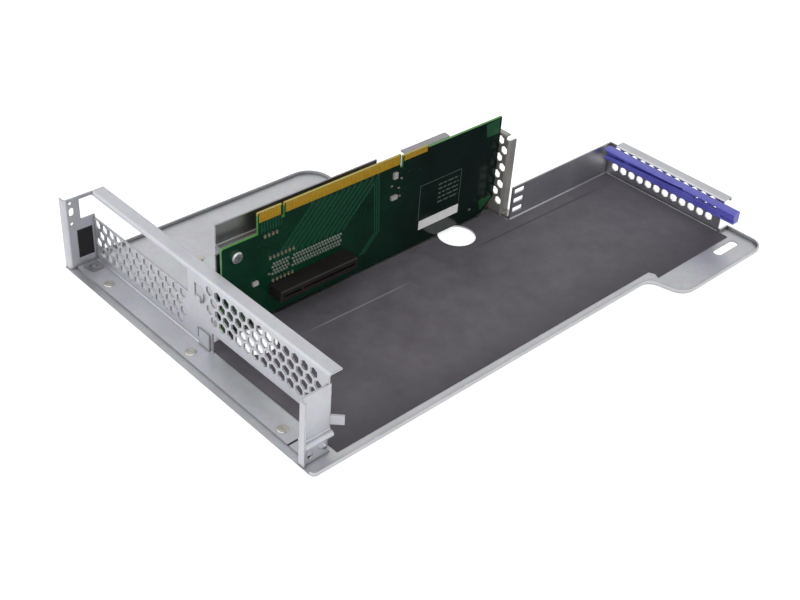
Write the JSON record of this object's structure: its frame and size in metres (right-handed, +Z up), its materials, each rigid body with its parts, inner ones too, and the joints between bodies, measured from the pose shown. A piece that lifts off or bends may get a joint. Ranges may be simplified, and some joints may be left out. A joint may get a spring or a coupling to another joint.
{
  "type": "riser cage bracket",
  "caption": "Folded steel riser cage bracket holding an upright riser board with card slots, behind a vented rear wall, with an insulating film and a card guide.",
  "frame": {"origin": "centre of the part's bounding box in X and Y, on the underside of the tray", "axes": "+Z up from the tray's floor, +Y from the vented rear wall to the card guide, +X from the short card's bay to the long card's bay"},
  "size_m": [0.247, 0.352, 0.0713],
  "materials": {
    "galvanised": "galvanised sheet, satin",
    "plated": "zinc plated, satin",
    "film": "smooth insulating film with a soft sheen",
    "laminate": "green solder mask, satin",
    "gold": "gold plated contacts",
    "slot_plastic": "moulded, matt",
    "solder": "tinned",
    "guide_plastic": "moulded blue, satin",
    "black_label": "plain black label, bare",
    "white_label": "plain white label, bare",
    "chip_ceramic": "ceramic chips with tinned ends",
    "chip_body": "small moulded parts"
  },
  "bodies": {
    "root": {"tray": "galvanised", "rear_bracket": "galvanised", "board_bracket": "galvanised", "end_bracket": "galvanised", "insulating_film": "film", "riser_board": "laminate", "edge_pads": "gold", "card_slot_near": "slot_plastic", "card_slot_far": "slot_plastic", "solder_tails_near": "solder", "solder_tails_far": "solder", "standoffs": "plated", "board_screw": "plated", "card_guide": "guide_plastic", "foot_rivets": "plated", "web_rivets": "plated", "end_rivet": "plated", "wing_rivet": "plated", "clinch_nut": "plated", "end_label": "black_label", "board_label": "white_label", "capacitors": "chip_ceramic", "chips": "chip_body"}
  },
  "joints": []
}
